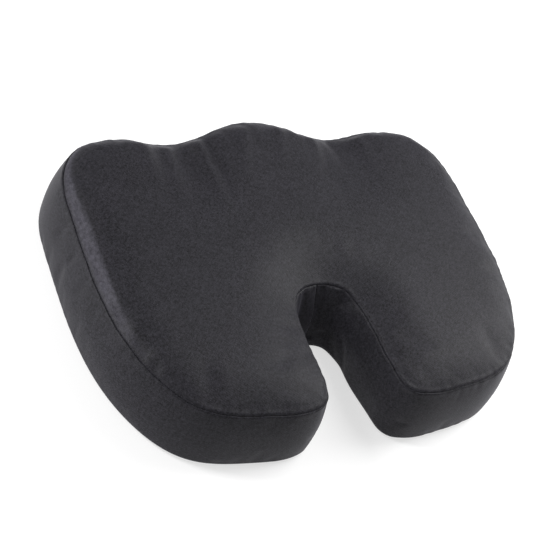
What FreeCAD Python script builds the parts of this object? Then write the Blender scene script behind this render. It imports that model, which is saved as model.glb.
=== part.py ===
"""Tailbone-relief seat cushion: moulded foam in a sewn cover that opens with a front zipper.

Millimetres, +Z up. The sitter faces +Y and the tailbone notch opens towards -Y.
The origin is the middle of the cushion's box, on the surface that it lies on.
"""

import FreeCAD
import Part
import math
import os

from FreeCAD import Vector

# Seat surface
SEAT_HEIGHT = 74.0  # plateau of the seat above the floor
ROLL_DROP = 7.0  # how far the seat has rolled down where it meets the wall
ROLL_WIDTH = 15.0  # width of that rolled edge
REAR_ROLL_WIDTH = 40.0  # at the notch and at the ends of the legs
SIDE_START_X = 140.0  # the rolled edge narrows from here to the sides
SIDE_FADE = 50.0
FRONT_START_Y = 40.0  # and from here to the front
FRONT_FADE = 60.0
CHANNEL_DEPTH = 11.0  # thigh channels, at the front edge
CHANNEL_X = 94.0
CHANNEL_WIDTH = 34.0
CHANNEL_START_Y = 30.0
CHANNEL_END_Y = 150.0
NOTCH_DIP = 5.0  # the seat sags this much at the end of the notch
NOTCH_DIP_Y = -66.0
NOTCH_DIP_SIZE = 45.0

# Wall
SEAM_Z = 66.0  # height at which the wall passes through the sewn outline
SHOULDER_Z = 38.0  # the wall is upright below this
BOTTOM_ROUND = 5.0
WALL_TOP_Z = 95.0  # walls are drawn up to here, and the seat surface trims them
FLARE = 8.5  # the lower wall stands this far outside the sewn outline
REAR_FLARE = 10.0  # at the ends of the legs
MOUTH_FLARE = 3.5  # beside the mouth of the notch
NOTCH_MAX_X = 50.0
NOTCH_MIDDLE_Y = -100.0
MOUTH_FADE = 45.0
NOTCH_SHIFT = 20.0  # the lower end of the notch lies this much further back
SHIFT_FADE = 50.0
FRONT_Y = 162.0  # the lower front wall is flat, to carry the zipper
FRONT_HALF = 160.0
CORNER_FADE = 55.0

# Right half of the sewn outline in plan, from the middle of the front to the notch's end
SEWN_OUTLINE = [
    (0, 170.5), (26, 167), (55, 157), (95, 153.5), (142, 154), (191, 141), (211, 112), (217, 60),
    (214, -37), (194, -106), (158, -148), (98, -163), (54, -162), (42, -155), (38, -143),
    (36, -100), (34, -66), (23, -40), (0, -33),
]  # fmt: skip
SAMPLES = 66  # steps along that half

# Cover and foam
FABRIC = 1.4
FOAM_INSET = 2.3
LIP = 2.4  # the seat and base panels turn this far onto the wall, to their seams
SEAM_GAP = 0.1
DOT_DEPTH = 0.5
DOT_RADIUS = 2.5
DOT_PITCH = 16.0
DOT_MARGIN = 18.0
RIM_WIDTH = 10.0

# Zipper, on the flat part of the front wall
ZIP_Z = 20.0
OPENING_HALF = 6.0
OPENING_END_X = 152.0
TAPE_HALF_WIDTH = 13.0
TAPE_HALF_GAP = 1.4
TAPE_OUTER = 1.5  # depth of the tape's outer face behind the wall's face
TAPE_THICK = 0.6
TAPE_END_X = 157.0
COIL_PITCH = 1.6
COIL_THICK = 2.0
COIL_OUTER_HALF = 2.9
COIL_SPINE_HALF = 1.8
COIL_REACH = 0.5
TOOTH_WIDTH = 0.72
CHAIN_START_X = -146.0
CHAIN_END_X = 141.0
RELIEF_DEPTH = 4.4
RELIEF_HALF = 7.0

# Slider, with the zipper shut, and its pull tab
SLIDER_X = 140.0
SLIDER_HALF = 5.5
TAIL_HALF = 4.0
MOUTH_HALF = 5.0
PLATE = 1.1
CLEAR = 0.25
FLANGE_THICK = 0.8
DIAMOND_HALF = 1.15
BRIDGE_REACH = 3.6
BRIDGE_BAR = 1.0
BRIDGE_HALF_WIDTH = 0.8
PIVOT_RISE = 1.3
PIVOT_RADIUS = 0.6
TAB_LENGTH = 26.0
TAB_HALF_WIDTH = 3.9
TAB_RAIL = 1.6
TAB_WINDOW = 7.0
TAB_THICK = 1.2
TAB_HOLE_RADIUS = 2.0
TAB_ROUND = 2.2
PLATE_ROUND = 1.2
STOP_LENGTH = 2.4
STOP_THICK = 2.4

GRID_STEP = 7.5
GRID_X = 240.0
GRID_Y = 187.5


def smooth(t):
    """Ease from 0 to 1."""
    t = min(1.0, max(0.0, t))
    return t * t * (3 - 2 * t)


def flare_at(x, y, nx, ny):
    """How far the lower wall stands outside the sewn outline, at a point with that outward normal."""
    rear = smooth((NOTCH_MIDDLE_Y - y) / MOUTH_FADE)
    mouth = (MOUTH_FLARE - FLARE) * nx**2 if x < NOTCH_MAX_X and y < 0 else 0.0
    return FLARE + rear * ((REAR_FLARE - FLARE) * min(0.0, ny) ** 2 + mouth)


def shift_at(x, y):
    """How far back the lower wall is shifted, at the end of the notch."""
    return NOTCH_SHIFT * smooth((y - NOTCH_MIDDLE_Y) / SHIFT_FADE) if x < NOTCH_MAX_X and y < 0 else 0.0


def outline_rows():
    """Points of the sewn outline, clockwise from above, each with its outward normal, flare and shift."""
    before = [(-x, y) for x, y in reversed(SEWN_OUTLINE[1:4])]
    after = [(-x, y) for x, y in reversed(SEWN_OUTLINE[-4:-1])]
    curve = Part.BSplineCurve()
    curve.interpolate(Points=[Vector(x, y, 0) for x, y in before + SEWN_OUTLINE + after])
    first, last = (curve.parameter(Vector(*SEWN_OUTLINE[end], 0)) for end in (0, -1))
    half = []
    for point in curve.discretize(Number=SAMPLES + 1, First=first, Last=last):
        t = curve.tangent(curve.parameter(point))[0]
        x, y, nx, ny = point.x, point.y, -t.y, t.x
        half.append((x, y, nx, ny, flare_at(x, y, nx, ny), shift_at(x, y)))
    left = [(-x, y, -nx, ny, flare, shift) for x, y, nx, ny, flare, shift in reversed(half[1:-1])]
    return half + left


ROWS = outline_rows()
PLAN = [row[:2] for row in ROWS]
CORNER = sum(1 for x, y in PLAN[:SAMPLES] if y > 0 and x < FRONT_HALF)


def spline_edge(points, z):
    """Curve through plan points at height z."""
    curve = Part.BSplineCurve()
    curve.interpolate(Points=[Vector(x, y, z) for x, y in points])
    return curve.toShape()


def ring(inset, flared, z):
    """Closed wire at height z, moved inwards by inset and flared by a share of the full flare.

    One edge runs between the front corners, straight where the wall is flared, and one runs round the rest.
    """
    points = []
    for x, y, nx, ny, flare, shift in ROWS:
        out = flare * flared - inset
        points.append((x + nx * out, y + ny * out - shift * flared))
    front = points[-CORNER:] + points[: CORNER + 1]
    side = points[CORNER : len(points) - CORNER + 1]
    if flared:
        front_y = FRONT_Y - inset - FLARE * (1 - flared)
        lift = front_y - side[0][1]
        side = [(x, y + lift * smooth(1 - (side[0][1] - y) / CORNER_FADE)) for x, y in side]
        line = Part.LineSegment(Vector(*side[-1], z), Vector(*side[0], z))
        return Part.Wire([line.toShape(), spline_edge(side, z)])
    return Part.Wire([spline_edge(front, z), spline_edge(side, z)])


def wall(inset):
    """Solid inside the cushion's wall, moved inwards by inset."""
    sections = [
        ring(inset, 1 - BOTTOM_ROUND / FLARE, inset),
        ring(inset, 1.0, inset + BOTTOM_ROUND),
        ring(inset, 1.0, SHOULDER_Z),
        ring(inset, 0.0, SEAM_Z),
        ring(inset + FLARE, 0.0, WALL_TOP_Z),
    ]
    return Part.makeLoft(sections, True, True)


def distance_inside(x, y):
    """Distance inside the sewn outline, negative outside it."""
    best = GRID_X
    inside = False
    x1, y1 = PLAN[-1]
    for x2, y2 in PLAN:
        dx, dy = x2 - x1, y2 - y1
        t = min(1.0, max(0.0, ((x - x1) * dx + (y - y1) * dy) / (dx * dx + dy * dy)))
        best = min(best, math.hypot(x - x1 - t * dx, y - y1 - t * dy))
        if (y1 > y) != (y2 > y) and x < x1 + (y - y1) / dy * dx:
            inside = not inside
        x1, y1 = x2, y2
    return best if inside else -best


def roll_width(x, y):
    """Width of the seat's rolled edge near a point."""
    side = smooth((abs(x) - SIDE_START_X) / SIDE_FADE)
    front = smooth((y - FRONT_START_Y) / FRONT_FADE)
    return REAR_ROLL_WIDTH + (ROLL_WIDTH - REAR_ROLL_WIDTH) * max(side, front)


def seat_height(x, y):
    """Height of the seat surface, which runs on past the outline at the slope that it has there."""
    across = math.exp(-(((abs(x) - CHANNEL_X) / CHANNEL_WIDTH) ** 2))
    along = smooth((y - CHANNEL_START_Y) / (CHANNEL_END_Y - CHANNEL_START_Y))
    dip = NOTCH_DIP * math.exp(-((math.hypot(x, y - NOTCH_DIP_Y) / NOTCH_DIP_SIZE) ** 2))
    edge = distance_inside(x, y) / roll_width(x, y)
    roll = (1 - min(edge, 1)) ** 2 if edge > 0 else 1 - edge
    return SEAT_HEIGHT - CHANNEL_DEPTH * across * along - dip - ROLL_DROP * roll


def seat_grid():
    """Points of the seat surface on a square grid."""
    nx = round(GRID_X / GRID_STEP)
    ny = round(GRID_Y / GRID_STEP)
    columns = []
    for i in range(-nx, nx + 1):
        x = i * GRID_STEP
        columns.append([Vector(x, j * GRID_STEP, seat_height(x, j * GRID_STEP)) for j in range(-ny, ny + 1)])
    return columns


GRID = seat_grid()


def below_seat(depth):
    """Everything lower than the seat surface moved down by depth."""
    surface = Part.BSplineSurface()
    surface.interpolate([[point - Vector(0, 0, depth) for point in column] for column in GRID])
    return surface.toShape().extrude(Vector(0, 0, -2 * WALL_TOP_Z))


def body(inset):
    """The cushion's whole form, moved inwards by inset on every side."""
    return wall(inset).common(below_seat(inset))


def block(x1, x2, y1, y2, z1, z2):
    """Box between two corners."""
    return Part.makeBox(x2 - x1, y2 - y1, z2 - z1, Vector(x1, y1, z1))


def half_space(x1=-GRID_X, x2=GRID_X, y1=-GRID_Y, y2=GRID_Y, z1=-GRID_X, z2=GRID_X):
    """Box that is larger than the cushion except where a limit is given."""
    return block(x1, x2, y1, y2, z1, z2)


def foam_core():
    """Moulded foam, with a groove that the zipper presses into its front."""
    groove = block(
        -TAPE_END_X - CLEAR, TAPE_END_X + CLEAR,
        FRONT_Y - RELIEF_DEPTH, FRONT_Y,
        ZIP_Z - RELIEF_HALF, ZIP_Z + RELIEF_HALF,
    )  # fmt: skip
    return body(FOAM_INSET).cut(groove)


def cover_skin():
    """The whole cover as one fabric shell."""
    return body(0).cut(body(FABRIC))


def top_panel(skin):
    """Seat panel, with the lip that is sewn to the bands."""
    return skin.cut(below_seat(LIP))


def bottom_panel(skin):
    """Base panel: its rim lies on the floor, and its middle stands clear by the grip dots' height."""
    recess = Part.Face(ring(RIM_WIDTH, 0.0, 0.0)).extrude(Vector(0, 0, DOT_DEPTH))
    filler = Part.Face(ring(RIM_WIDTH - FABRIC, 0.0, FABRIC)).extrude(Vector(0, 0, DOT_DEPTH))
    panel = skin.common(half_space(z2=LIP))
    return panel.fuse(filler).cut(recess)


def band_ring(skin):
    """The part of the cover between the seat panel and the base panel."""
    return skin.common(below_seat(LIP + SEAM_GAP)).cut(half_space(z2=LIP + SEAM_GAP))


def side_band(ring_shape, side):
    """Band from the zipper's end round one side to the end of the notch."""
    rear = half_space(x1=SEAM_GAP / 2, y2=0)
    front = half_space(x1=OPENING_END_X + SEAM_GAP, y1=0)
    limit = rear.fuse(front)
    if side < 0:
        limit = limit.mirror(Vector(0, 0, 0), Vector(1, 0, 0))
    return ring_shape.common(limit)


def front_band(ring_shape, upper):
    """Band above or below the zipper."""
    limit = half_space(-OPENING_END_X, OPENING_END_X, y1=0, z1=ZIP_Z + OPENING_HALF)
    if not upper:
        limit = half_space(-OPENING_END_X, OPENING_END_X, y1=0, z2=ZIP_Z - OPENING_HALF)
    return ring_shape.common(limit)


def grip_dots():
    """Printed rubber dots in staggered rows under the base panel."""
    dots = []
    rows = int(GRID_Y / DOT_PITCH)
    columns = int(GRID_X / DOT_PITCH)
    for j in range(-rows, rows + 1):
        for i in range(-columns, columns + 1):
            x = (i + (j % 2) / 2) * DOT_PITCH
            y = j * DOT_PITCH
            if distance_inside(x, y) > DOT_MARGIN:
                dots.append(Part.makeCylinder(DOT_RADIUS, DOT_DEPTH, Vector(x, y, 0)))
    return Part.makeCompound(dots)


def flip(shape, upper):
    """The upper half of the zipper as it is, and the lower half as its mirror image."""
    return shape if upper else shape.mirror(Vector(0, 0, ZIP_Z), Vector(0, 0, 1))


def zipper_tape(upper):
    """Woven tape behind one band."""
    tape = block(
        -TAPE_END_X, TAPE_END_X,
        FRONT_Y - TAPE_OUTER - TAPE_THICK, FRONT_Y - TAPE_OUTER,
        ZIP_Z + TAPE_HALF_GAP, ZIP_Z + TAPE_HALF_WIDTH,
    )  # fmt: skip
    return flip(tape, upper)


def comb(points, y1, y2):
    """Prism from a closed outline in X and Z."""
    wire = Part.makePolygon([Vector(x, y1, z) for x, z in points + points[:1]])
    return Part.Face(wire).extrude(Vector(0, y2 - y1, 0))


def zipper_coil(upper):
    """One side of the chain: a spine on the tape with teeth that reach past the middle."""
    phase = 0 if upper else COIL_PITCH / 2
    points = [(CHAIN_END_X, ZIP_Z + COIL_OUTER_HALF), (CHAIN_START_X, ZIP_Z + COIL_OUTER_HALF)]
    points.append((CHAIN_START_X, ZIP_Z + COIL_SPINE_HALF))
    x = CHAIN_START_X + COIL_PITCH / 2 + phase
    while x < CHAIN_END_X - COIL_PITCH / 2:
        for dx, z in ((-1, COIL_SPINE_HALF), (-1, -COIL_REACH), (1, -COIL_REACH), (1, COIL_SPINE_HALF)):
            points.append((x + dx * TOOTH_WIDTH / 2, ZIP_Z + z))
        x += COIL_PITCH
    points.append((CHAIN_END_X, ZIP_Z + COIL_SPINE_HALF))
    back = FRONT_Y - TAPE_OUTER
    return flip(comb(points, back, back + COIL_THICK), upper)


def round_corners(shape, radius):
    """Rounds the corners of a plate at its end of lowest X."""
    box = shape.BoundBox
    across = [edge for edge in shape.Edges if edge.BoundBox.YLength > box.YLength / 2]
    return shape.makeFillet(radius, [edge for edge in across if edge.BoundBox.XMin - box.XMin < CLEAR])


def slider_plate(y1, y2):
    """Plate that is wider at the slider's mouth, which faces +X."""
    x1, x2 = SLIDER_X - SLIDER_HALF, SLIDER_X + SLIDER_HALF
    half = [(x1, TAIL_HALF), (SLIDER_X, TAIL_HALF), (x2, MOUTH_HALF)]
    points = [(x, ZIP_Z + z) for x, z in half] + [(x, ZIP_Z - z) for x, z in reversed(half)]
    return round_corners(comb(points, y1, y2), PLATE_ROUND)


def slider_flange(y1, y2, upper):
    """Wall along one edge of a plate, outside the chain."""
    x1, x2 = SLIDER_X - SLIDER_HALF, SLIDER_X + SLIDER_HALF
    points = [(x1, TAIL_HALF), (SLIDER_X, TAIL_HALF), (x2, MOUTH_HALF)]
    points += [(x, z - FLANGE_THICK) for x, z in reversed(points)]
    return flip(comb([(x, ZIP_Z + z) for x, z in points], y1, y2), upper)


FRONT_PLATE_IN = FRONT_Y - TAPE_OUTER + COIL_THICK + CLEAR
FRONT_PLATE_OUT = FRONT_PLATE_IN + PLATE
REAR_PLATE_OUT = FRONT_Y - TAPE_OUTER - TAPE_THICK - CLEAR
PIVOT_Y = FRONT_PLATE_OUT + PIVOT_RISE


def zipper_slider():
    """Two plates joined by a wedge at the mouth, with a bridge that holds the pull tab."""
    front = slider_plate(FRONT_PLATE_IN, FRONT_PLATE_OUT)
    rear = slider_plate(REAR_PLATE_OUT - PLATE, REAR_PLATE_OUT)
    x2 = SLIDER_X + SLIDER_HALF
    wedge = [(SLIDER_X + COIL_PITCH, 0), (x2, DIAMOND_HALF), (x2, -DIAMOND_HALF)]
    diamond = comb([(x, ZIP_Z + z) for x, z in wedge], REAR_PLATE_OUT - PLATE, FRONT_PLATE_OUT)
    flanges = []
    for upper in (True, False):
        flanges.append(slider_flange(FRONT_Y - TAPE_OUTER + CLEAR, FRONT_PLATE_IN, upper))
    reach = BRIDGE_REACH + BRIDGE_BAR
    top = PIVOT_Y + PIVOT_RADIUS + CLEAR
    z1, z2 = ZIP_Z - BRIDGE_HALF_WIDTH, ZIP_Z + BRIDGE_HALF_WIDTH
    arch = block(SLIDER_X - reach, SLIDER_X + reach, FRONT_PLATE_OUT, top + BRIDGE_BAR, z1, z2)
    eye = block(SLIDER_X - BRIDGE_REACH, SLIDER_X + BRIDGE_REACH, FRONT_PLATE_OUT, top, z1, z2)
    return front.multiFuse([rear, diamond, arch.cut(eye)] + flanges).removeSplitter()


def zipper_pull_tab():
    """Flat tab with a window round the bridge and a crossbar through it, lying towards the slider's tail."""
    x1, x2 = SLIDER_X - TAB_LENGTH, SLIDER_X + PIVOT_RADIUS
    y1, y2 = PIVOT_Y - TAB_THICK / 2, PIVOT_Y + TAB_THICK / 2
    plate = block(x1, x2, y1, y2, ZIP_Z - TAB_HALF_WIDTH, ZIP_Z + TAB_HALF_WIDTH)
    plate = round_corners(plate, TAB_ROUND)
    inner = TAB_HALF_WIDTH - TAB_RAIL
    window = block(SLIDER_X - TAB_WINDOW, x2, y1, y2, ZIP_Z - inner, ZIP_Z + inner)
    hole_x = x1 + 2 * TAB_HOLE_RADIUS
    hole = Part.makeCylinder(TAB_HOLE_RADIUS, TAB_THICK, Vector(hole_x, y1, ZIP_Z), Vector(0, 1, 0))
    bar_start = Vector(SLIDER_X, PIVOT_Y, ZIP_Z - TAB_HALF_WIDTH)
    crossbar = Part.makeCylinder(PIVOT_RADIUS, 2 * TAB_HALF_WIDTH, bar_start)
    return plate.cut(window).cut(hole).fuse(crossbar).removeSplitter()


def stop(x, z1, z2):
    """Metal clamp on the tape's edge."""
    y1 = FRONT_Y - TAPE_OUTER
    return block(x, x + STOP_LENGTH, y1, y1 + STOP_THICK, z1, z2)


def zipper_top_stops():
    """A stop on each tape, past the slider's mouth."""
    x = SLIDER_X + SLIDER_HALF + CLEAR
    upper = stop(x, ZIP_Z + TAPE_HALF_GAP, ZIP_Z + COIL_OUTER_HALF)
    return Part.makeCompound([upper, flip(upper, False)])


def zipper_bottom_stop():
    """One stop across both tapes, at the chain's start."""
    return stop(CHAIN_START_X - STOP_LENGTH - SEAM_GAP, ZIP_Z - COIL_OUTER_HALF, ZIP_Z + COIL_OUTER_HALF)


def build():
    """Every piece by its node's name."""
    skin = cover_skin()
    bands = band_ring(skin)
    return {
        "foam_core": foam_core(),
        "top_panel": top_panel(skin),
        "side_band_left": side_band(bands, -1),
        "side_band_right": side_band(bands, 1),
        "front_band_upper": front_band(bands, True),
        "front_band_lower": front_band(bands, False),
        "bottom_panel": bottom_panel(skin),
        "grip_dots": grip_dots(),
        "zipper_tape_upper": zipper_tape(True),
        "zipper_tape_lower": zipper_tape(False),
        "zipper_coil_upper": zipper_coil(True),
        "zipper_coil_lower": zipper_coil(False),
        "zipper_slider": zipper_slider(),
        "zipper_pull_tab": zipper_pull_tab(),
        "zipper_top_stops": zipper_top_stops(),
        "zipper_bottom_stop": zipper_bottom_stop(),
    }


os.makedirs("parts", exist_ok=True)
for name, shape in build().items():
    print(name, "valid" if shape.isValid() else "NOT VALID", len(shape.Solids), round(shape.Volume))
    shape.exportStep(f"parts/{name}.step")
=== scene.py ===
import math

import bmesh
import bpy
import numpy as np
from mathutils import Matrix, Vector
from mathutils.geometry import delaunay_2d_cdt
from mathutils.kdtree import KDTree


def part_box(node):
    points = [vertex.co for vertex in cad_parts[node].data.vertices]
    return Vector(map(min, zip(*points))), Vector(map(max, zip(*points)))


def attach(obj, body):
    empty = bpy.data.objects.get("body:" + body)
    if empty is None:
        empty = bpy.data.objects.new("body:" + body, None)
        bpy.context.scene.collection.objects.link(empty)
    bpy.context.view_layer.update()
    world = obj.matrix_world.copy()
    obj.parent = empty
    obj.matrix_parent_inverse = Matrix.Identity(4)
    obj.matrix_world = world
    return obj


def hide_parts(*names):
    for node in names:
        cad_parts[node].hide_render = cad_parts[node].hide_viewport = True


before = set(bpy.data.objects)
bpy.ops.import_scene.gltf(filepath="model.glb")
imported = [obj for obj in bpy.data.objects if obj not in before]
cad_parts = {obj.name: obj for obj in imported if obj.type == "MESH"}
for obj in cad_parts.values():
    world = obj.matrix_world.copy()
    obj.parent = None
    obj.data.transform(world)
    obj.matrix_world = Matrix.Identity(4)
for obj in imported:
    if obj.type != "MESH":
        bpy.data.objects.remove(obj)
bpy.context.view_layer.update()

MM = 0.001

# ---------------------------------------------------------------- driving sizes, in metres
# Right half of the sewn outline in plan, from the middle of the front to the notch's end.
SEWN_OUTLINE = [(x * MM, y * MM) for x, y in (
    (0, 170.5), (26, 167), (55, 157), (95, 153.5), (142, 154), (191, 141), (211, 112), (217, 60),
    (214, -37), (194, -106), (158, -148), (98, -163), (54, -162), (42, -155), (38, -143),
    (36, -100), (34, -66), (23, -40), (0, -33),
)]
SPLINE_STEPS = 60  # between neighbouring points of the outline
SPACING = 0.004  # between columns of the cover's mesh
SEAM_SIDE = 0.0012  # extra columns stand this far each side of an upright seam

SEAT_Z = 0.0762  # top of the seat, away from its edge and its channels
CROWN = 0.0090  # the seat stands this far above its seam
CROWN_WIDTH = 0.0112  # at the sides and the front
REAR_CROWN_WIDTH = 0.036  # at the notch and at the ends of the legs
SIDE_START_X = 0.140  # the crown starts to narrow here towards the sides
SIDE_FADE = 0.050
FRONT_START_Y = 0.040  # and here towards the front
FRONT_FADE = 0.060
CROWN_POWER = 1.2  # 1 for a plain chamfer
CHANNEL_DEPTH = 0.010  # of the two thigh channels
CHANNEL_X = 0.094
CHANNEL_WIDTH = 0.034
CHANNEL_START_Y = 0.030
CHANNEL_END_Y = 0.150
NOTCH_DIP = 0.005  # depth of the hollow round the notch's end
NOTCH_DIP_Y = -0.066
NOTCH_DIP_SIZE = 0.045

FLARE = 0.0085  # the lower wall stands this far outside the sewn outline
REAR_FLARE = 0.010  # at the ends of the legs
MOUTH_FLARE = 0.0035  # beside the mouth of the notch
NOTCH_MAX_X = 0.050  # the notch's walls lie between this and its mirror image
NOTCH_MIDDLE_Y = -0.100
MOUTH_FADE = 0.045
NOTCH_SHIFT = 0.020  # the lower end of the notch lies this much further back
SHIFT_FADE = 0.050
BULGE = 0.003  # of the wall, half way down
FRONT_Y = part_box("front_band_lower")[1].y
FRONT_HALF = 0.160  # half the width of the flat front wall
CORNER_FADE = 0.055
SHOULDER_Z = 0.034  # the front wall is flat from here down
BOTTOM_ROUND = 0.004
BASE_SEAM_Z = 0.003

OPENING_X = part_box("front_band_lower")[1].x
OPENING_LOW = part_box("front_band_lower")[1].z
OPENING_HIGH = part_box("front_band_upper")[0].z

GRID = 0.0055  # of points inside the outermost rings of the seat and the base
GRID_CLEAR = 0.55 * GRID
INSIDE_ONLY = 1  # the triangulation's output type
MERGE_DISTANCE = 1e-7
CLOSE = 1e-6  # a tolerance
TINY = 1e-9  # keeps a division away from zero
JOIN_ANGLE = 0.7  # triangles of the fill that are this flat to each other become quads
TOP_RINGS = (0.001, 0.0022, 0.004, 0.0065)  # inside the seat's seam
BASE_RINGS = (0.005, 0.010)  # inside the base's edge
# Heights of the wall's lower rings, from its shoulder down to the base
LOW_ROWS = (SHOULDER_Z, 0.030, OPENING_HIGH + 0.001, OPENING_HIGH, 0.022, 0.018, OPENING_LOW,
            OPENING_LOW - 0.001, 0.0095, 0.006, 0.004, BASE_SEAM_Z, 0.002, 0.001, 0.0)
OPENING_ROW = LOW_ROWS.index(OPENING_LOW)
SEAM_ROWS = (0.0, 0.001, 0.0022, 0.004, 0.0065)  # the wall's upper rings, below the seat's seam
MIDDLE_ROWS = 5
SEAM_RING = len(TOP_RINGS)
LOW_RING = SEAM_RING + len(SEAM_ROWS) + MIDDLE_ROWS
BASE_RING = LOW_RING + len(LOW_ROWS) - 1

FABRIC = 0.0012  # thickness of the cloth
FOAM_INSET = 0.0034  # from the cloth's outer surface
FOAM_RELIEF = 0.0045  # depth of the foam's groove behind the zipper
DOT_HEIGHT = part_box("grip_dots")[1].z
CLOTH_QUALITY = 6
CLOTH_MASS = 0.25
CLOTH_STIFFNESS = 12
CLOTH_SHEAR = 5
CLOTH_PRESSURE = 2.5
CLOTH_SLACK = 0.006  # the cloth is this share longer than the foam that it covers
CLOTH_BENDING = 0.8
CLOTH_FRAMES = 20
CLOTH_CAP = 0.003  # no point moves further than this
SEAM_HOLD = 0.97  # how firmly the seat's seam is pinned, where 1 is fixed
PIN_MARGIN = 0.002  # round the zipper, where the cloth is held

PANELS = ("top_panel", "side_band_left", "side_band_right", "front_band_upper", "front_band_lower",
          "bottom_panel", "opening")
TOP, LEFT, RIGHT, UPPER, LOWER, BASE, OPENING = range(len(PANELS))

# ---------------------------------------------------------------- finer shapes of the cover
SEAM_GROOVE = 0.0013  # depth of the groove at the seat's seam
SEAM_WIDTH = 0.0008
SEAT_LIP = 0.0004  # the seat's panel rolls over the seam, just inside it
WALL_LIP = 0.0001
LIP_PLACE = 0.0027
LIP_WIDTH = 0.0015
FRONT_SEAM_Y = 0.151
UPRIGHT_GROOVE = 0.0009
BASE_GROOVE = 0.0007
STITCH_GROOVE = 0.0003
SEAM_WAVES = ((0.011, 0.00009), (0.017, 0.00012), (0.029, 0.00018), (0.047, 0.0003))  # length, height
WAVE_REACH = 0.008
GATHERS = 300
GATHER_WIDTH = (0.0014, 0.0034)
GATHER_REACH = (0.005, 0.017)
GATHER_DEPTH = (0.00008, 0.00026)
GATHER_SHARE = (0.1, 1.0)  # of the depth, on each side of the seam
TIGHT_GAIN = 1.6  # gathers are this much deeper round the legs' ends
TIGHT_Y = -0.110

# Folds that run from the front seam into the seat: start, end, half width and height
SEAT_FOLDS = (
    ((-0.123, 0.163), (-0.127, 0.070), 0.008, 0.0032),
    ((-0.096, 0.156), (-0.112, 0.050), 0.008, 0.0042),
    ((-0.069, 0.160), (-0.066, 0.045), 0.008, 0.0052),
    ((-0.055, 0.160), (-0.060, 0.060), 0.005, -0.0040),
    ((-0.006, 0.175), (-0.036, 0.085), 0.007, 0.0026),
    ((0.032, 0.168), (0.010, 0.090), 0.007, 0.0020),
    ((0.067, 0.158), (0.058, 0.100), 0.006, 0.0026),
    ((0.090, 0.155), (0.085, 0.090), 0.006, -0.0029),
    ((0.122, 0.155), (0.119, 0.095), 0.006, 0.0024),
)
FOLD_START = 0.003  # inside the seat's seam
FOLD_FADE = 0.016
# Painted highlight: a lighter band in the cloth's colour along the rolled left edge of the seat, standing in
# for the light's reflection off that edge
BAND_X = 0.150
BAND_FADE = 0.035
BAND_Y = -0.120
BAND_FRONT_Y = 0.150
BAND_TAPER = 0.110
BAND_WIDTH = 0.0105
BAND_END = 0.35  # share of the width at its ends
BAND_RISE = 0.0035
HIGHLIGHT_LIFT = (1.0, 2.9)  # painted highlight, added to the cloth's shade there, from its darkest wisps to its lightest
# Folds down the notch's end: X at the seam, X at the base, lowest Z, half width and height
NOTCH_FOLDS = (
    (-0.013, -0.018, 0.020, 0.0030, -0.0012),
    (0.008, 0.001, 0.010, 0.0042, -0.0024),
    (0.018, 0.010, 0.020, 0.0050, 0.0012),
    (0.026, 0.018, 0.050, 0.0018, -0.0016),
)

# ---------------------------------------------------------------- zipper, thread, dots and foam
STITCH_MARGIN = 0.0025  # from the zipper's opening
STITCH_ROWS = (OPENING_LOW - STITCH_MARGIN, OPENING_HIGH + STITCH_MARGIN)
STITCH_PITCH = 0.0032
STITCH_SHARE = 0.82  # of the pitch that a stitch covers
STITCH_STEPS = 6
STITCH_RISE = 0.00045
STITCH_SINK = 0.0003
STITCH_END_GAP = 0.0015
TACK_STITCHES = 7
TUBE_SIDE = (0.1, 0.3, 1.0)  # no tube starts along this
THREAD_RADIUS = 0.0002
THREAD_SIDES = 8
COIL_PITCH = 0.0016
COIL_STEPS = 16
FILAMENT = 0.0003
FILAMENT_SIDES = 8
HARD_EDGE = 0.00015  # rounding of the metal pieces' edges
HARD_EDGE_STEPS = 2
HARD_EDGE_ANGLE = math.radians(40)
DOT_PITCH = 0.016
DOT_RADIUS = 0.0025
DOT_MARGIN = 0.018
DOT_SIDES = 16
DOT_PROFILE = ((1.0, 1.0), (0.98, 0.5), (0.85, 0.18), (0.55, 0.02), (0.2, 0.0))  # radius, height
FOAM_VOXEL = 0.004
FOAM_ROUNDS = 6
SEED = 7  # of the gathers and the seam's waves

# ---------------------------------------------------------------- colours, and grain in metres
NOISE_LOW = 0.3
NOISE_HIGH = 0.7
VELOUR = (0.0138, 0.0132, 0.0163)
VELOUR_SHEEN = 0.07
VELOUR_TINT = (0.80, 0.78, 0.92, 1)
FIBRE = 0.0009
HEATHER = 0.0026
NAP = 0.055
TWILL = (0.0017, 0.0021)
WISP = 0.0024
TWILL_WAYS = ((0.6, 0.55, 0.6), (0.6, -0.55, -0.6))  # directions across its two sets of ribs
FIBRE_SHADES = (0.5, 1.5)  # times the colour, from the darkest fibres to the lightest
HEATHER_SHADES = (-0.45, 0.45)  # added to that, as are those of the nap and the twill
NAP_SPAN = (0.35, 0.65)
NAP_SHADES = (-0.08, 0.08)
TWILL_SHADES = (-0.07, 0.12)
TWILL_HEIGHT = 0.35  # beside the fibres' 1
VELOUR_BUMP = 0.00016
BASE_BLACK = (0.026, 0.026, 0.029)
WEAVE = 0.0011
WEAVE_YARN = 0.0008
WEAVE_SHADES = (0.6, 1.3)
YARN_SHADES = (-0.2, 0.2)
WEAVE_BUMP = 0.0003
RUBBER_BLACK = (0.017, 0.017, 0.018)
RUBBER_PATCH = 0.03
RUBBER_PIT = 0.0005
RUBBER_SHADES = (0.85, 1.2)
RUBBER_ROUGHNESS = (0.42, 0.62)
RUBBER_BUMP = 0.00012
FOAM_CREAM = (0.74, 0.66, 0.50)
FOAM_CELLS = 900.0  # in a metre
FOAM_PATCH = 0.02
FOAM_SHADES = (-0.06, 0.06)
PORE_SPAN = (0.1, 0.6)
PORE_SHADES = (0.72, 1.05)
FOAM_GLOW_DEPTH = 0.004  # how deep light goes into the foam
FOAM_BUMP = 0.0004
TAPE_BLACK = (0.024, 0.024, 0.026)
HERRINGBONE = 0.0013
TAPE_RIB = 0.0007
TAPE_YARN = 0.0009
TAPE_SHADES = (0.6, 1.25)
TAPE_BUMP = 0.00025
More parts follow.
